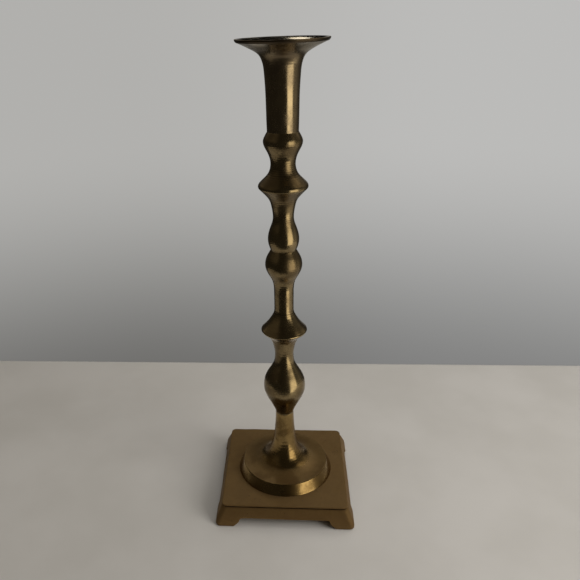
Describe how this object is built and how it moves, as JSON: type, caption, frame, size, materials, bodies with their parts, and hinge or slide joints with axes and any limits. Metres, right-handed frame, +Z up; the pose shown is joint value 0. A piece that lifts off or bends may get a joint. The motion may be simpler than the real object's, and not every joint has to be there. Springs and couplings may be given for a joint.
{
  "type": "altar candlestick",
  "caption": "Tall turned brass candlestick: a flared trumpet candle cup on a knopped stem, over a round foot and a square plinth with bracket feet.",
  "frame": {"origin": "centre of the square plinth, on the floor", "axes": "+Z up along the turned stem, X and Y square to the plinth's sides"},
  "size_m": [0.1192, 0.1192, 0.3891],
  "materials": {
    "cast_brass": "aged sand-cast brass, dull brown patina",
    "turned_brass": "aged turned brass, dark satin polish",
    "cup_brass": "aged turned brass, polished inside the rim",
    "zinc_steel": "dull zinc-plated steel"
  },
  "bodies": {
    "root": {"plinth": "cast_brass", "round_foot": "turned_brass", "lower_stem": "turned_brass", "middle_stem": "turned_brass", "upper_stem": "turned_brass", "candle_cup": "cup_brass", "tie_rod": "zinc_steel", "base_washer": "zinc_steel", "lock_washer": "zinc_steel", "hex_nut": "zinc_steel"}
  },
  "joints": []
}
